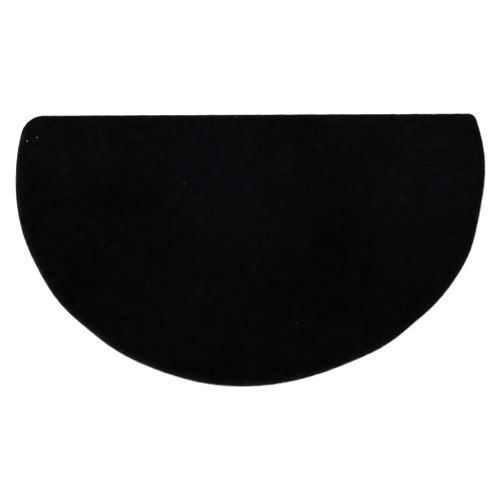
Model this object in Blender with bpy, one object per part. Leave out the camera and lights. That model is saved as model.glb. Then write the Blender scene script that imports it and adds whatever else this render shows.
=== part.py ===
# Half round doormat: one cut piece of short, dense pile cloth that lies flat.
# Units are metres, +Z is up, the straight back edge faces +Y and the round front edge faces -Y.
# The origin is on the floor under the middle of the mat.

import bisect
import math

import bmesh
import bpy
import numpy
from mathutils import Vector

# The oval that the mat is cut from
HALF_WIDTH = 0.3502  # middle of the oval to either side
HALF_DEPTH = 0.3130  # middle of the oval to the front
BACK_OFFSET = 0.0913  # middle of the oval to the back edge, so the sides bulge past the back corners
BACK_TILT = math.radians(0.27)  # the back edge rises a little to the right
LEFT_CORNER_RADIUS = 0.0350
RIGHT_CORNER_RADIUS = 0.0120

# How far the hand-cut edge swells out of the true oval, at angles in degrees
# that run from the right side round the front to the left side
EDGE_COLUMNS = ("angle", "swell")
EDGE_TABLE = (
    (-15, 0.0011),
    (-6, 0.0021),
    (1, 0.0007),
    (8, -0.0014),
    (15, -0.0004),
    (21, 0.0020),
    (29, 0.0012),
    (37, -0.0003),
    (46, -0.0033),
    (53, -0.0024),
    (65, -0.0050),
    (76, -0.0030),
    (85, -0.0006),
    (97, 0.0015),
    (113, 0.0010),
    (124, 0.0017),
    (134, 0.0006),
    (143, 0.0027),
    (154, 0.0007),
    (163, 0.0008),
    (171, -0.0003),
    (179, -0.0018),
    (192, -0.0028),
)
FRONT_ANGLE = 90
CORNER_SEARCH = (80, 120)  # each back corner lies between these angles from the front
SEARCH_ROUNDS = 30
SMALL_TURN = 0.05  # degrees, to read the direction of the edge

# Section through the rim, from the cut underside over the fanned-out pile to the top:
# how far inside the outline, and what share of the full height
THICKNESS = 0.0085
RIM_COLUMNS = ("inset", "share")
RIM_TABLE = (
    (0.0012, 0.00),
    (0.0004, 0.14),
    (0.0000, 0.38),
    (0.0003, 0.64),
    (0.0013, 0.84),
    (0.0034, 0.95),
    (0.0075, 1.00),
)
INNER_RINGS = (0.90, 0.78, 0.65, 0.51, 0.36, 0.20)  # share of the way out from the middle

# The top lies in low swells, each a wave across the mat with its heading in degrees from +X
WAVE_COLUMNS = ("height", "length", "heading")
WAVE_TABLE = (
    (0.00022, 0.31, 25),
    (0.00016, 0.19, 110),
    (0.00010, 0.12, 160),
)

# Steps along the outline
BACK_STEPS = 26
OVAL_STEPS = 104
LEFT_CORNER_STEPS = 9
RIGHT_CORNER_STEPS = 7

PILE_COLOUR = (0.0032, 0.0035, 0.0040, 1.0)
PILE_ROUGHNESS = 0.95
SMOOTH_ANGLE = math.radians(50)


def table_rows(columns, table):
    return [dict(zip(columns, row)) for row in table]


def edge_swell(angle):
    """Swell of the edge at an angle, on a smooth curve through the rows of the table."""
    rows = table_rows(EDGE_COLUMNS, EDGE_TABLE)
    angles = [row["angle"] for row in rows]
    swells = [row["swell"] for row in rows]
    slopes = numpy.gradient(swells, angles)
    after = min(max(bisect.bisect(angles, angle), 1), len(rows) - 1)
    before = after - 1
    width = angles[after] - angles[before]
    share = min(max((angle - angles[before]) / width, 0.0), 1.0)
    blend = share * share * (3 - 2 * share)
    leaving = slopes[before] * share * (1 - share) ** 2
    arriving = slopes[after] * share**2 * (1 - share)
    return swells[before] * (1 - blend) + swells[after] * blend + width * (leaving - arriving)


def oval_point(angle, inset=0.0):
    """Point of the cut edge at an angle, or inside it by an inset, about the middle of the oval."""

    def edge(turn):
        point = Vector((HALF_WIDTH * math.cos(turn), -HALF_DEPTH * math.sin(turn)))
        return point + point.normalized() * edge_swell(math.degrees(turn))

    point = edge(math.radians(angle))
    if inset:
        along = edge(math.radians(angle + SMALL_TURN)) - edge(math.radians(angle - SMALL_TURN))
        point += Vector((along.y, -along.x)).normalized() * inset
    return point


def back_corner(side, radius):
    """Centre of a corner's arc, its end on the back edge and the oval's angle at its other end.

    side is 1 for the right corner and -1 for the left one.
    """
    out_of_back = Vector((-math.sin(BACK_TILT), math.cos(BACK_TILT)))
    inner, outer = (FRONT_ANGLE - side * turn for turn in CORNER_SEARCH)
    for _ in range(SEARCH_ROUNDS):
        angle = (inner + outer) / 2
        centre = oval_point(angle, radius)
        room = (Vector((0, BACK_OFFSET)) - centre).dot(out_of_back)
        if room > radius:
            inner = angle
        else:
            outer = angle
    return centre, centre + out_of_back * radius, angle


def arc(centre, start, end, steps):
    """Points round a centre from start to end the short way, both ends included."""
    first = math.atan2(*(start - centre).yx)
    last = math.atan2(*(end - centre).yx)
    sweep = (last - first + math.pi) % (2 * math.pi) - math.pi
    radius = (start - centre).length
    points = []
    for step in range(steps + 1):
        turn = first + sweep * step / steps
        points.append(centre + Vector((math.cos(turn), math.sin(turn))) * radius)
    return points


def mat_outline():
    """The closed outline, clockwise from above, with its box centred on the origin."""
    left_centre, left_end, left_angle = back_corner(-1, LEFT_CORNER_RADIUS)
    right_centre, right_end, right_angle = back_corner(1, RIGHT_CORNER_RADIUS)
    back = [left_end.lerp(right_end, step / BACK_STEPS) for step in range(BACK_STEPS)]
    right = arc(right_centre, right_end, oval_point(right_angle), RIGHT_CORNER_STEPS)
    oval_turn = (left_angle - right_angle) / OVAL_STEPS
    oval = [oval_point(right_angle + oval_turn * step) for step in range(1, OVAL_STEPS)]
    left = arc(left_centre, oval_point(left_angle), left_end, LEFT_CORNER_STEPS)
    outline = back + right + oval + left[:-1]

    low = Vector((min(point.x for point in outline), min(point.y for point in outline)))
    high = Vector((max(point.x for point in outline), max(point.y for point in outline)))
    return [point - (low + high) / 2 for point in outline]


def inset_ring(outline, inset):
    """The outline moved inwards, square to itself, by an inset."""
    ring = []
    for index, point in enumerate(outline):
        along = (outline[(index + 1) % len(outline)] - outline[index - 1]).normalized()
        ring.append(point + Vector((along.y, -along.x)) * inset)
    return ring


def top_height(point):
    """Height of the pile's top over the floor at a point of the plan."""
    height = THICKNESS
    for wave in table_rows(WAVE_COLUMNS, WAVE_TABLE):
        heading = math.radians(wave["heading"])
        travel = point.x * math.cos(heading) + point.y * math.sin(heading)
        height += wave["height"] * math.sin(2 * math.pi * travel / wave["length"])
    return height


def mat_rings():
    """Rings of points from the cut underside, up over the rim and in across the top."""
    outline = mat_outline()
    rings = []
    for rim in table_rows(RIM_COLUMNS, RIM_TABLE):
        plan = inset_ring(outline, rim["inset"])
        rings.append([(point.x, point.y, top_height(point) * rim["share"]) for point in plan])
    for share in INNER_RINGS:
        inner = [point * share for point in plan]
        rings.append([(point.x, point.y, top_height(point)) for point in inner])
    return rings


def pile_material():
    material = bpy.data.materials.new("pile_cloth")
    material.use_nodes = True
    shader = material.node_tree.nodes["Principled BSDF"]
    shader.inputs["Base Color"].default_value = PILE_COLOUR
    shader.inputs["Roughness"].default_value = PILE_ROUGHNESS
    shader.inputs["Metallic"].default_value = 0.0
    material.diffuse_color = PILE_COLOUR
    return material


def build_mat():
    """The mat as one closed solid, with a flat underside, a rounded rim and a gently uneven top."""
    shape = bmesh.new()
    rings = [[shape.verts.new(place) for place in ring] for ring in mat_rings()]
    middle = shape.verts.new((0, 0, top_height(Vector((0, 0)))))
    count = len(rings[0])
    for index in range(count):
        follow = (index + 1) % count
        for lower, upper in zip(rings, rings[1:]):
            shape.faces.new((lower[follow], lower[index], upper[index], upper[follow]))
        shape.faces.new((rings[-1][follow], rings[-1][index], middle))
    shape.faces.new(rings[0])
    bmesh.ops.recalc_face_normals(shape, faces=shape.faces)

    mesh = bpy.data.meshes.new("mat")
    shape.to_mesh(mesh)
    shape.free()
    mesh.shade_smooth()
    mesh.set_sharp_from_angle(angle=SMOOTH_ANGLE)
    mesh.materials.append(pile_material())
    mat = bpy.data.objects.new("mat", mesh)
    bpy.context.scene.collection.objects.link(mat)


for leftover in list(bpy.data.objects):
    bpy.data.objects.remove(leftover, do_unlink=True)
build_mat()
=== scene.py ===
# Half round doormat: short, dense, near-black cut pile, lying flat on a pale studio floor.
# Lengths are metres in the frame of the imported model: +X along the straight back edge, +Z up.
import math

import bpy
import numpy as np
from mathutils.bvhtree import BVHTree
from mathutils.kdtree import KDTree
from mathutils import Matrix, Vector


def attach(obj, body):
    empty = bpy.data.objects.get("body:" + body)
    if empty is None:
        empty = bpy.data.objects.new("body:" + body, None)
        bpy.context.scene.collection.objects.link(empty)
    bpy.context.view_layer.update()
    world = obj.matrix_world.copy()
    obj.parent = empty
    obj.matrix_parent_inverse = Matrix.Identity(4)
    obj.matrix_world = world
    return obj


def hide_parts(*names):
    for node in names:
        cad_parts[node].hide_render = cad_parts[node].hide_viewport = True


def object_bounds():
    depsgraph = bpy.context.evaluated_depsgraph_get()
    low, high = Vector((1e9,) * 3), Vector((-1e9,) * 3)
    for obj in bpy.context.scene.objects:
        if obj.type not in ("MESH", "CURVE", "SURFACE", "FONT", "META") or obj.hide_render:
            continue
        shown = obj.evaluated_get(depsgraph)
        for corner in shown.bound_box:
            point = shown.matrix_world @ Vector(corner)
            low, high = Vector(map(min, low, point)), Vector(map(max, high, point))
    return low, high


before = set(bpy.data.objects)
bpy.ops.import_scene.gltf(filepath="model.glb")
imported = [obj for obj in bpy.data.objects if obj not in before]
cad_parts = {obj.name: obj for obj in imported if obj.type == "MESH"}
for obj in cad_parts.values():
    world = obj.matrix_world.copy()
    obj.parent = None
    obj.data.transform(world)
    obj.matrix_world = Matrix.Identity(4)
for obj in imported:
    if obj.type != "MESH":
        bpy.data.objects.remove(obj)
cadLow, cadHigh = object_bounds()
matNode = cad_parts["mat"]


# Shader building

class Wire:
    # a socket's output: + - * with numbers or other wires add Math nodes
    def __init__(self, tree, socket=None):
        self.tree = tree
        self.socket = socket

    def node(self, kind, settings=None, inputs=None, output=0):
        made = self.tree.nodes.new(kind)
        for name, value in (settings or {}).items():
            setattr(made, name, value)
        for name, value in (inputs or {}).items():
            if isinstance(value, Wire):
                self.tree.links.new(value.socket, made.inputs[name])
            else:
                made.inputs[name].default_value = value
        return Wire(self.tree, made.outputs[output])

    def mathNode(self, operation, first, second):
        return self.node("ShaderNodeMath", {"operation": operation}, {0: first, 1: second})

    def __add__(self, other):
        return self.mathNode("ADD", self, other)

    def __sub__(self, other):
        return self.mathNode("SUBTRACT", self, other)

    def __mul__(self, other):
        return self.mathNode("MULTIPLY", self, other)

    def __rsub__(self, other):
        return self.mathNode("SUBTRACT", other, self)

    __radd__ = __add__
    __rmul__ = __mul__


def newMaterial(name):
    material = bpy.data.materials.new(name)
    material.use_nodes = True
    tree = material.node_tree
    return material, Wire(tree), tree.nodes["Principled BSDF"]


def feed(wire, shader, socket):
    wire.tree.links.new(wire.socket, shader.inputs[socket])


def setFixed(shader, values):
    for socket, value in values.items():
        shader.inputs[socket].default_value = value


def meshValue(wire, name):
    return wire.node("ShaderNodeAttribute", {"attribute_name": name}, output="Fac")


def blotches(wire, size, detail=2.0, shift=(0, 0, 0)):
    # soft noise from 0 to 1, in blotches of about that size
    place = wire.node("ShaderNodeTexCoord", output="Object")
    place = wire.node("ShaderNodeVectorMath", {"operation": "ADD"}, {0: place, 1: shift})
    return wire.node("ShaderNodeTexNoise", {"noise_dimensions": "3D"},
                     {"Vector": place, "Scale": 1.0 / size, "Detail": detail}, output="Fac")


noiseMiddle = 0.5  # the blotches lie evenly around this


def scaleColor(wire, color, amount):
    return wire.node("ShaderNodeVectorMath", {"operation": "SCALE"}, {0: color, "Scale": amount})


def bumpFrom(wire, height, look):
    return wire.node("ShaderNodeBump", None,
                     {"Strength": look["bumpStrength"], "Distance": look["bump"], "Height": height},
                     output="Normal")


def mixColors(wire, amount, first, second):
    # 6, 7 and output 2 are the color sockets of a Mix node
    return wire.node("ShaderNodeMix", {"data_type": "RGBA"},
                     {"Factor": amount, 6: first, 7: second}, output=2)


# The cut edge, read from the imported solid

edgeSizes = {
    "bandLow": 0.0024,  # the solid's widest ring lies between these heights
    "bandHigh": 0.0042,
    "step": 0.0012,  # spacing of the finer edge that the cloth is built on
}


def cutEdge():
    # points round the mat, clockwise from above, evenly spaced
    corners = np.array([point.co for point in matNode.data.vertices])
    band = corners[(corners[:, 2] > edgeSizes["bandLow"]) & (corners[:, 2] < edgeSizes["bandHigh"])]
    ring = np.unique(np.round(band[:, :2], 6), axis=0)  # to the micrometre
    ring = ring[np.argsort(-np.arctan2(ring[:, 1], ring[:, 0]))]
    closed = np.vstack([ring, ring[:1]])
    travel = np.concatenate([[0], np.cumsum(np.linalg.norm(np.diff(closed, axis=0), axis=1))])
    count = int(travel[-1] / edgeSizes["step"])
    spots = np.linspace(0, travel[-1], count, endpoint=False)
    return np.column_stack([np.interp(spots, travel, closed[:, axis]) for axis in (0, 1)])


def outwards(ring):
    # the direction out of the mat at each point of the edge
    along = np.roll(ring, -1, axis=0) - np.roll(ring, 1, axis=0)
    along /= np.linalg.norm(along, axis=1)[:, None]
    return np.column_stack([-along[:, 1], along[:, 0]])


edge = cutEdge()
edgeOut = outwards(edge)
edgeTree = KDTree(len(edge))
for number, (x, y) in enumerate(edge):
    edgeTree.insert((x, y, 0), number)
edgeTree.balance()
print("edge of the mat:", len(edge), "points")


def fromEdge(plan):
    # how far each place is inside the cut edge, and the direction out of the mat there
    nearest = np.array([edgeTree.find((x, y, 0))[1] for x, y in plan])
    out = edgeOut[nearest]
    return np.sum((edge[nearest] - plan) * out, axis=1), out


solidTree = BVHTree.FromPolygons([point.co for point in matNode.data.vertices],
                                 [face.vertices for face in matNode.data.polygons])
insideShare = 0.96  # the pile's level is read a little inside each place, clear of the rounded rim
rayStart = 1.0  # well above the mat


def solidHeights(plan):
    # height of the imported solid's top at places on the plan
    return np.array([solidTree.ray_cast((x, y, rayStart), (0, 0, -1))[0].z for x, y in plan])


def topHeights(plan):
    # level of the pile's top at places on the plan, as if it had no rounded rim
    return solidHeights(plan * insideShare)


spareCells = 2  # for places just past the mat's edge


def patches(plan, size, seed):
    # smooth random values from -1 to 1, in patches of that size
    rng = np.random.default_rng(seed)
    place = (plan - np.array(cadLow.xy)) / size + spareCells
    cell = np.floor(place).astype(int)
    grid = rng.uniform(-1, 1, (cell[:, 0].max() + 2, cell[:, 1].max() + 2))
    share = place - cell
    share = share * share * (3 - 2 * share)
    column, row = cell[:, 0], cell[:, 1]
    near = grid[column, row] * (1 - share[:, 1]) + grid[column, row + 1] * share[:, 1]
    far = grid[column + 1, row] * (1 - share[:, 1]) + grid[column + 1, row + 1] * share[:, 1]
    return near * (1 - share[:, 0]) + far * share[:, 0]


def meshFrom(name, points, faces, values=None):
    # one joined mesh from arrays of points and triangles, with values kept at its points
    mesh = bpy.data.meshes.new(name)
    mesh.vertices.add(len(points))
    mesh.vertices.foreach_set("co", np.asarray(points, np.float32).ravel())
    mesh.loops.add(faces.size)
    mesh.loops.foreach_set("vertex_index", faces.astype(np.int32).ravel())
    mesh.polygons.add(len(faces))
    mesh.polygons.foreach_set("loop_start", np.arange(0, faces.size, 3, dtype=np.int32))
    mesh.update(calc_edges=True)
    mesh.shade_smooth()
    for kind, value in (values or {}).items():
        mesh.attributes.new(kind, "FLOAT", "POINT").data.foreach_set("value", value.astype(np.float32))
    return mesh


def addPiece(name, mesh, materials):
    for material in materials:
        mesh.materials.append(material)
    piece = bpy.data.objects.new(name, mesh)
    bpy.context.scene.collection.objects.link(piece)
    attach(piece, "root")
    return piece


# Finishes

pileLook = {
    # painted shade: the roots, deep in the pile, are painted darker than the tips
    "root": (0.0010, 0.0010, 0.0011, 1),
    "dullTip": (0.0057, 0.0060, 0.0060, 1),
    "coolTip": (0.0050, 0.0062, 0.0079, 1),  # painted cool light of the back window: where the pile is lighter, and towards the back
    "coolEverywhere": 0.44,  # share of the cool tip, and what the broad patches and each metre towards the back add: painted cool window light
    "coolWithPatchesAndLight": 3.2,
    "paintedCoolLightToBack": 2.0,
    "edge": (0.0360, 0.0320, 0.0262, 1),  # the cut edge is a little dusty, and painted lighter as a highlight where light catches it
    "tintLow": 0.9,  # each tuft has its own shade
    "tintHigh": 1.1,
    "blotch": 0.009,  # the small mottle
    "blotchDetail": 1.0,
    "blotchDepth": 1.7,
    "broadPatchesAndLight": 0.18,  # the broad lighter and darker areas, partly random tone and partly painted light
    "broadPatchesAndLightDetail": 2.0,
    "paintedLightShift": (-0.21, -2.51, -1.78),  # brings the lighter areas to the middle of the back, as painted light from the back window
    "broadPatchesAndLightDepth": 1.2,
    "paintedLightToBack": 0.15,  # painted light: each metre towards the back edge, nearer the back window, adds this share
    "rough": 0.80,
    "roughBlotch": 0.15,  # what the mottle and each tuft's own shade add to it
    "roughTint": 0.1,
    # the sheen's blue tint paints in the cool light of the back window
    "fixed": {"Specular IOR Level": 0.005, "Sheen Weight": 0.065, "Sheen Roughness": 0.3,
              "Sheen Tint": (0.86, 0.95, 1.0, 1), "Metallic": 0.0},
}


def pileMaterial():
    material, wire, shader = newMaterial("pileCloth")
    along = meshValue(wire, "along")
    dustAndRimLight = meshValue(wire, "dustAndRimLight")
    tint = meshValue(wire, "tint")
    blotch = blotches(wire, pileLook["blotch"], pileLook["blotchDetail"]) - noiseMiddle
    # broad patches: random tone, with the lighter areas placed as painted light under the back window
    broadPatchesAndLight = blotches(wire, pileLook["broadPatchesAndLight"], pileLook["broadPatchesAndLightDetail"], pileLook["paintedLightShift"]) - noiseMiddle
    place = wire.node("ShaderNodeTexCoord", output="Object")
    towardBack = wire.node("ShaderNodeSeparateXYZ", None, {0: place}, output="Y")
    # painted cool window light: bluer towards the back and in the lighter patches
    cool = pileLook["coolEverywhere"] + pileLook["coolWithPatchesAndLight"] * broadPatchesAndLight
    cool = cool + pileLook["paintedCoolLightToBack"] * towardBack
    tip = mixColors(wire, cool, pileLook["dullTip"], pileLook["coolTip"])
    # painted shade: darker down towards the roots
    shade = mixColors(wire, along, pileLook["root"], tip)
    # painted highlight along the cut edge, with a little dust, strongest on the side the front lamp lights
    shade = mixColors(wire, dustAndRimLight * along, shade, pileLook["edge"])
    spread = pileLook["tintHigh"] - pileLook["tintLow"]
    strength = pileLook["tintLow"] + spread * tint
    strength = strength * (1 + pileLook["blotchDepth"] * blotch + pileLook["broadPatchesAndLightDepth"] * broadPatchesAndLight)
    # painted light: lighter towards the back edge, where the back window falls
    strength = strength * (1 + pileLook["paintedLightToBack"] * towardBack)
    feed(scaleColor(wire, shade, strength), shader, "Base Color")
    rough = pileLook["rough"] + pileLook["roughBlotch"] * blotch + pileLook["roughTint"] * tint
    feed(rough, shader, "Roughness")
    setFixed(shader, pileLook["fixed"])
    return material


groundLook = {
    # painted shade: the ground deep in the pile is painted darker than the tufts
    "dark": (0.0005, 0.0005, 0.0006, 1),
    "light": (0.0012, 0.0013, 0.0015, 1),
    "lump": 0.0018,
    "lumpDetail": 3.0,
    "rough": 0.88,
    "roughLump": 0.1,
    "bump": 0.0006,
    "bumpStrength": 0.6,
    "fixed": {"Specular IOR Level": 0.03, "Sheen Weight": 0.02, "Metallic": 0.0},
}


def groundMaterial():
    material, wire, shader = newMaterial("pileGround")
    lump = blotches(wire, groundLook["lump"], groundLook["lumpDetail"])
    feed(mixColors(wire, lump, groundLook["dark"], groundLook["light"]), shader, "Base Color")
    feed(groundLook["rough"] + groundLook["roughLump"] * lump, shader, "Roughness")
    feed(bumpFrom(wire, lump, groundLook), shader, "Normal")
    setFixed(shader, groundLook["fixed"])
    return material


backingLook = {
    "dark": (0.010, 0.010, 0.011, 1),
    "light": (0.022, 0.022, 0.023, 1),
    "thread": 0.0016,  # about the width of each thread of the woven backing
    "waveScale": 0.5 / math.pi,  # scale of the bands for threads one metre wide
    "waver": 0.6,
    "waverDetail": 1.0,
    "speck": 0.003,
    "rough": 0.75,
    "roughSpeck": 0.2,
    "bump": 0.0002,
    "bumpStrength": 0.5,
    "fixed": {"Specular IOR Level": 0.15, "Metallic": 0.0},
}


def backingMaterial():
    material, wire, shader = newMaterial("wovenBacking")
    place = wire.node("ShaderNodeTexCoord", output="Object")
    bands = {"Vector": place, "Scale": backingLook["waveScale"] / backingLook["thread"],
             "Distortion": backingLook["waver"], "Detail": backingLook["waverDetail"]}
    threads = []
    for direction in ("X", "Y"):
        kind = {"wave_type": "BANDS", "bands_direction": direction}
        threads.append(wire.node("ShaderNodeTexWave", kind, bands, output="Fac"))
    across, along = threads
    weave = across * (1 - along) + along * (1 - across)
    speck = blotches(wire, backingLook["speck"])
    feed(mixColors(wire, weave * speck, backingLook["dark"], backingLook["light"]), shader, "Base Color")
    feed(backingLook["rough"] + backingLook["roughSpeck"] * speck, shader, "Roughness")
    feed(bumpFrom(wire, weave, backingLook), shader, "Normal")
    setFixed(shader, backingLook["fixed"])
    return material


lintLook = {
    "pale": (0.50, 0.51, 0.53, 1),
    "dull": (0.16, 0.16, 0.17, 1),
    "rough": 0.8,
    "roughGrain": 0.15,
    "grain": 0.0004,
    "fixed": {"Specular IOR Level": 0.2, "Sheen Weight": 0.1, "Metallic": 0.0},
}


def lintMaterial():
    material, wire, shader = newMaterial("lintFibre")
    feed(mixColors(wire, meshValue(wire, "tint"), lintLook["dull"], lintLook["pale"]), shader, "Base Color")
    grain = blotches(wire, lintLook["grain"])
    feed(lintLook["rough"] + lintLook["roughGrain"] * grain, shader, "Roughness")
    setFixed(shader, lintLook["fixed"])
    return material


pileFinish = pileMaterial()
groundFinish = groundMaterial()
backingFinish = backingMaterial()
lintFinish = lintMaterial()
print("finishes made")


# The sheet: the woven backing, and the ground that the pile stands in

sheetSizes = {
    "pile": 0.0030,  # how far the pile stands over the ground
    "edgeEvery": 3,  # it is built on every third point of the edge
    "columns": ("inset", "height"),
    "rim": (  # from the underside round the backing's cut edge and up the ground's side
        (0.0011, 0.0000),
        (0.0006, 0.0003),
        (0.0005, 0.0012),
        (0.0009, 0.0015),
        (0.0017, 0.0018),
        (0.0018, 0.0029),
        (0.0022, 0.0042),
        (0.0034, 0.0050),
        (0.0054, 0.0054),
        (0.0080, 0.0055),
    ),
    "backingRings": 4,  # how far up the rim the backing reaches
    "innerRings": 16,
    "lump": 0.00025,  # unevenness of the ground, in patches
    "lumpSize": 0.016,
    "lumpSeed": 11,
    "sharp": math.radians(50),
}


def sheetMesh():
    ring = edge[::sheetSizes["edgeEvery"]]
    out = edgeOut[::sheetSizes["edgeEvery"]]
    count = len(ring)
    rings = []
    for row in sheetSizes["rim"]:
        rim = dict(zip(sheetSizes["columns"], row))
        rings.append(np.column_stack([ring - out * rim["inset"], np.full(count, rim["height"])]))
    rimTop = rings[-1][:, :2]
    for step in range(1, sheetSizes["innerRings"]):
        inner = rimTop * (1 - step / sheetSizes["innerRings"])
        height = topHeights(inner) - sheetSizes["pile"]
        height += sheetSizes["lump"] * patches(inner, sheetSizes["lumpSize"], sheetSizes["lumpSeed"])
        rings.append(np.column_stack([inner, height]))
    middle = np.zeros((1, 2))
    middleTop = np.column_stack([middle, topHeights(middle) - sheetSizes["pile"]])
    points = np.vstack(rings + [middleTop, np.zeros((1, 3))])

    here = np.arange(count)
    follow = (here + 1) % count
    faces = []
    for low in range(0, (len(rings) - 1) * count, count):
        high = low + count
        faces.append(np.column_stack([low + follow, low + here, high + here]))
        faces.append(np.column_stack([low + follow, high + here, high + follow]))
    last = (len(rings) - 1) * count
    topCentre, underCentre = len(points) - 2, len(points) - 1
    faces.append(np.column_stack([last + follow, last + here, np.full(count, topCentre)]))
    faces.append(np.column_stack([here, follow, np.full(count, underCentre)]))
    mesh = meshFrom("matSheet", points, np.vstack(faces))
    slots = np.zeros(len(mesh.polygons), np.int32)  # 0 is the ground and 1 the backing
    slots[:sheetSizes["backingRings"] * 2 * count] = 1
    slots[-count:] = 1
    mesh.polygons.foreach_set("material_index", slots)
    mesh.set_sharp_from_angle(angle=sheetSizes["sharp"])
    return mesh


matSheet = addPiece("matSheet", sheetMesh(), [groundFinish, backingFinish])
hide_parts("mat")
print("sheet:", len(matSheet.data.polygons), "triangles")


# The pile: fine three-sided tufts that end in a point, close together

pileSizes = {
    "columns": ("unrolled", "inset", "height", "tilt", "length"),
    "rim": (  # how the pile turns over the cut edge, by its place unrolled from the top
        (-0.0038, 0.0015, 0.0018, 84, 0.0025),
        (-0.0016, 0.0014, 0.0029, 70, 0.0029),
        (0.0006, 0.0018, 0.0041, 50, 0.0031),
        (0.0028, 0.0032, 0.0050, 28, 0.0031),
        (0.0052, 0.0054, 0.0054, 12, 0.0030),
        (0.0080, 0.0080, 0.0055, 3, 0.0030),
        (0.0100, 0.0100, 0.0055, 0, 0.0030),
    ),
    "spacing": 0.00101,
    "jitter": 0.40,  # share of the spacing
    "margin": 0.005,  # the grid of tufts starts this far outside the mat
    "seed": 21,
    "rootWidth": 0.00135,
    "sunk": 0.0004,  # the roots start this far inside the ground
    "stray": 9,  # degrees of lean, for each tuft and then for whole patches
    "leanColumns": ("size", "degrees", "seed"),
    "leans": (
        (0.034, 9, 31),
        (0.009, 11, 41),
    ),
    "lengthSpread": 0.07,  # shares of the pile's length, for each tuft and then for whole patches
    "lengthPatch": 0.07,
    "patchSize": 0.011,
    "patchSeed": 51,
    "shortest": 0.75,  # and the limits of that length
    "longest": 1.12,
    "dustAndRimLightWidth": 0.018,  # the pile is a little dusty, and painted lighter as a highlight, this far in, and most at its very edge
    "dustAndRimLightPower": 2,
    "paintedLightSide": (-0.45, -0.89),  # most of all on this side, which the front lamp lights: painted highlight
    "dustAndRimLightEven": 0.36,  # and this share of it all round
    "strips": ("Left", "LeftMiddle", "Middle", "RightMiddle", "Right"),
}


def tuftPlaces(rng):
    # a shaken triangular grid, over the mat and just past its edge
    step = pileSizes["spacing"]
    rowStep = step * math.sin(math.radians(60))
    margin = pileSizes["margin"]
    across = np.arange(cadLow.x - margin, cadHigh.x + margin, step)
    down = np.arange(cadLow.y - margin, cadHigh.y + margin, rowStep)
    x, y = np.meshgrid(across, down)
    x[1::2] += step / 2
    plan = np.column_stack([x.ravel(), y.ravel()])
    return plan + rng.uniform(-1, 1, plan.shape) * pileSizes["jitter"] * step


def growTufts():
    # root, tip, turn, shade, and dust with painted edge highlight of every tuft
    rng = np.random.default_rng(pileSizes["seed"])
    plan = tuftPlaces(rng)
    inset, out = fromEdge(plan)
    rows = dict(zip(pileSizes["columns"], np.array(pileSizes["rim"]).T))
    kept = inset > rows["unrolled"][0]
    plan, inset, out = plan[kept], inset[kept], out[kept]
    rim = {kind: np.interp(inset, rows["unrolled"], rows[kind]) for kind in pileSizes["columns"][1:]}
    rootInset = np.where(inset > rows["unrolled"][-1], inset, rim["inset"])
    plan = plan + out * (inset - rootInset)[:, None]
    ground = (topHeights(plan) - sheetSizes["pile"]) / rows["height"][-1]
    roots = np.column_stack([plan, rim["height"] * ground])

    tilt = np.radians(rim["tilt"])
    lean = rng.normal(0, math.radians(pileSizes["stray"]), plan.shape)
    for row in pileSizes["leans"]:
        patch = dict(zip(pileSizes["leanColumns"], row))
        both = [patches(plan, patch["size"], patch["seed"] + axis) for axis in (0, 1)]
        lean += math.radians(patch["degrees"]) * np.column_stack(both)
    toward = np.column_stack([out * np.sin(tilt)[:, None] + lean * np.cos(tilt)[:, None], np.cos(tilt)])
    toward /= np.linalg.norm(toward, axis=1)[:, None]
    spread = pileSizes["lengthSpread"] * rng.normal(0, 1, len(plan))
    spread += pileSizes["lengthPatch"] * patches(plan, pileSizes["patchSize"], pileSizes["patchSeed"])
    length = rim["length"] * np.clip(1 + spread, pileSizes["shortest"], pileSizes["longest"])
    # the edge is painted lighter, partly dust and partly a painted highlight, most where the front lamp
    # falls
    fromRim = (inset - rows["unrolled"][0]) / pileSizes["dustAndRimLightWidth"]
    dustAndRimLight = np.clip(1 - fromRim, 0, 1) ** pileSizes["dustAndRimLightPower"]
    facing = out @ np.array(pileSizes["paintedLightSide"])
    dustAndRimLight *= np.clip(pileSizes["dustAndRimLightEven"] + (1 - pileSizes["dustAndRimLightEven"]) * facing, 0, 1)
    return {
        "root": roots - toward * pileSizes["sunk"],
        "tip": roots + toward * length[:, None],
        "toward": toward,
        "turn": rng.uniform(0, 2 * math.pi, len(plan)),
        "tint": rng.uniform(0, 1, len(plan)),
        "dustAndRimLight": dustAndRimLight,
    }


def tuftMesh(name, tufts):
    # three corners round each root and one at its tip
    toward = tufts["toward"]
    side = np.cross(toward, [1.0, 0.0, 0.0])
    side /= np.linalg.norm(side, axis=1)[:, None]
    other = np.cross(toward, side)
    corners = []
    for number in range(3):
        angle = (tufts["turn"] + number * 2 * math.pi / 3)[:, None]
        reach = (side * np.cos(angle) + other * np.sin(angle)) * pileSizes["rootWidth"] / 2
        corners.append(tufts["root"] + reach)
    corners.append(tufts["tip"])
    points = np.stack(corners, axis=1).reshape(-1, 3)
    count = len(toward)
    first = np.arange(count)[:, None, None] * 4
    faces = (first + np.array([(0, 1, 3), (1, 2, 3), (2, 0, 3)])).reshape(-1, 3)
    values = {
        "along": np.tile([0, 0, 0, 1], count),
        "tint": np.repeat(tufts["tint"], 4),
        "dustAndRimLight": np.repeat(tufts["dustAndRimLight"], 4),
    }
    mesh = meshFrom(name, points, faces, values)
    mapFromAbove(mesh, points, faces)
    return mesh


def mapFromAbove(mesh, points, faces):
    # a texture map that looks straight down on the piece
    low, high = points[:, :2].min(axis=0), points[:, :2].max(axis=0)
    spots = ((points[:, :2] - low) / (high - low))[faces.ravel()]
    mesh.uv_layers.new(name="OFBake").data.foreach_set("uv", spots.astype(np.float32).ravel())


def growPile():
    # the pile in strips across the mat, each with as many tufts
    tufts = growTufts()
    order = np.argsort(tufts["root"][:, 0], kind="stable")
    pieces = []
    for strip, here in zip(pileSizes["strips"], np.array_split(order, len(pileSizes["strips"]))):
        name = "pile" + strip
        mesh = tuftMesh(name, {kind: value[here] for kind, value in tufts.items()})
        pieces.append(addPiece(name, mesh, [pileFinish]))
        print(name + ":", len(here), "tufts")
    return pieces


pilePieces = growPile()


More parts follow.
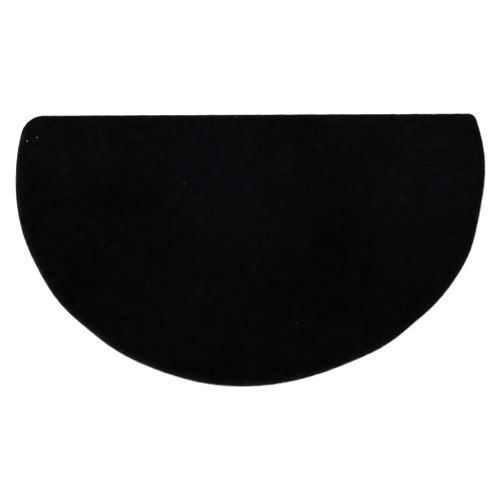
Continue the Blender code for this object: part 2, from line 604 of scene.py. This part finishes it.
# Specks of pale lint caught in the pile

lintSizes = {
    "columns": ("x", "y", "length", "width", "turn", "pale"),
    "specks": (
        (-0.3318, 0.1619, 0.0032, 0.00047, 70, 0.40),
        (-0.3173, 0.1678, 0.0030, 0.00044, 160, 0.25),
        (-0.3281, 0.1355, 0.0020, 0.00021, 10, 0.0),
        (-0.0981, 0.0983, 0.0026, 0.00030, 60, 0.2),
        (0.0699, -0.1088, 0.0023, 0.00030, 40, 0.1),
        (0.0090, 0.0630, 0.0018, 0.00022, 20, 0.1),
        (0.0706, 0.1958, 0.0020, 0.00013, 80, 0.0),
        (-0.0700, 0.1998, 0.0024, 0.00022, 0, 0.1),
        (-0.0209, 0.1981, 0.0034, 0.00022, 170, 0.0),
    ),
    "bend": 0.35,  # share of the length that a speck curls sideways
    "steps": 6,
    "sides": 5,
    "blunt": 0.05,  # the least that is left of the thickness at the ends, squared
    "lift": 0.0004,  # the specks lie on the tips
}


def lintMesh():
    # each speck is a thin curled rod with closed ends
    points, faces, tints = [], [], []
    sides = lintSizes["sides"]
    up = np.array([0, 0, 1])
    for row in lintSizes["specks"]:
        speck = dict(zip(lintSizes["columns"], row))
        turn = math.radians(speck["turn"])
        ahead = np.array([math.cos(turn), math.sin(turn), 0])
        sideways = np.array([-ahead[1], ahead[0], 0])
        middle = np.array([[speck["x"], speck["y"]]])
        height = solidHeights(middle)[0] + lintSizes["lift"]
        for step in range(lintSizes["steps"] + 1):
            share = step / lintSizes["steps"] * 2 - 1
            centre = np.array([speck["x"], speck["y"], height]) + ahead * share * speck["length"] / 2
            curl = 1 / 3 - share * share  # its mean is nothing, so the speck stays in its place
            centre = centre + sideways * curl * lintSizes["bend"] * speck["length"]
            radius = speck["width"] / 2 * math.sqrt(max(1 - share * share, lintSizes["blunt"]))
            for number in range(sides):
                angle = 2 * math.pi * number / sides
                points.append(centre + (sideways * math.cos(angle) + up * math.sin(angle)) * radius)
                tints.append(speck["pale"])
        first = len(points) - sides * (lintSizes["steps"] + 1)
        for step in range(lintSizes["steps"]):
            for number in range(sides):
                here = first + step * sides + number
                beside = first + step * sides + (number + 1) % sides
                faces.append((here, here + sides, beside))
                faces.append((beside, here + sides, beside + sides))
        tail = len(points) - sides
        for number in range(1, sides - 1):
            faces.append((first, first + number, first + number + 1))
            faces.append((tail, tail + number + 1, tail + number))
    return meshFrom("lint", np.array(points), np.array(faces), {"tint": np.array(tints)})


lint = addPiece("lint", lintMesh(), [lintFinish])
print("lint:", len(lintSizes["specks"]), "specks")


# What the mat measures, laid flat

matWidth, matDepth = (cadHigh - cadLow).xy


# Studio: floor, lights and the camera straight above

studio = {
    "floorSize": 14.0,
    "floorPale": (0.76, 0.76, 0.76, 1),
    "floorPaler": (0.78, 0.78, 0.78, 1),
    "floorGrain": 0.4,
    "floorFixed": {"Roughness": 0.9, "Specular IOR Level": 0.1},
    "worldColor": (1.0, 0.99, 0.985, 1),
    "worldStrength": 1.035,
    "windowShape": 1 / 3,  # its height as a share of its width
    "columns": ("name", "kind", "place", "strength", "spread", "color"),
    "lights": (  # the spread is metres for an area light and degrees for a sun
        ("backWindow", "AREA", (0.0, 0.55, 0.55), 11.3, 1.5, (0.97, 0.99, 1.0)),
        ("frontLamp", "SUN", (-1.0, -1.25, 0.80), 4.1, 25, (1.0, 0.995, 0.985)),
    ),
}


def makeStudio():
    half = studio["floorSize"] / 2
    mesh = bpy.data.meshes.new("floor")
    corners = [(-half, -half, 0), (half, -half, 0), (half, half, 0), (-half, half, 0)]
    mesh.from_pydata(corners, [], [(0, 1, 2, 3)])
    material, wire, shader = newMaterial("paleFloor")
    grain = blotches(wire, studio["floorGrain"])
    feed(mixColors(wire, grain, studio["floorPale"], studio["floorPaler"]), shader, "Base Color")
    setFixed(shader, studio["floorFixed"])
    mesh.materials.append(material)
    floor = bpy.data.objects.new("floor", mesh)
    bpy.context.scene.collection.objects.link(floor)

    world = bpy.data.worlds.new("paleRoom")
    world.use_nodes = True
    background = world.node_tree.nodes["Background"]
    background.inputs["Color"].default_value = studio["worldColor"]
    background.inputs["Strength"].default_value = studio["worldStrength"]
    bpy.context.scene.world = world

    for row in studio["lights"]:
        kind = dict(zip(studio["columns"], row))
        light = bpy.data.lights.new(kind["name"], kind["kind"])
        if kind["kind"] == "SUN":
            light.angle = math.radians(kind["spread"])
        else:
            light.shape = "RECTANGLE"
            light.size = kind["spread"]
            light.size_y = kind["spread"] * studio["windowShape"]
        light.energy = kind["strength"]
        light.color = kind["color"]
        lamp = bpy.data.objects.new(kind["name"], light)
        lamp.location = kind["place"]
        lamp.rotation_euler = (-lamp.location).to_track_quat("-Z", "Y").to_euler()
        bpy.context.scene.collection.objects.link(lamp)
    bpy.context.scene.view_settings.view_transform = "Standard"
    return floor


cameraSizes = {
    "matPixels": 468.9,  # width of the mat in the 500 pixel picture
    "framePixels": 500,
    "middleRight": 0.30,  # the mat's middle lies this many pixels right of and below the picture's middle
    "middleDown": 0.05,
    "lens": 85,
    "sensor": 36,
    "edgeHeight": 0.0035,  # the outline that shows is at this height
}


def makeCamera():
    pixel = matWidth / cameraSizes["matPixels"]
    distance = pixel * cameraSizes["framePixels"] * cameraSizes["lens"] / cameraSizes["sensor"]
    camera = bpy.data.objects.new("camera", bpy.data.cameras.new("camera"))
    camera.data.lens = cameraSizes["lens"]
    camera.data.sensor_width = cameraSizes["sensor"]
    camera.location = (-cameraSizes["middleRight"] * pixel, cameraSizes["middleDown"] * pixel,
                       distance + cameraSizes["edgeHeight"])
    bpy.context.scene.collection.objects.link(camera)
    bpy.context.scene.camera = camera


floor = makeStudio()
makeCamera()
print("studio and camera placed")
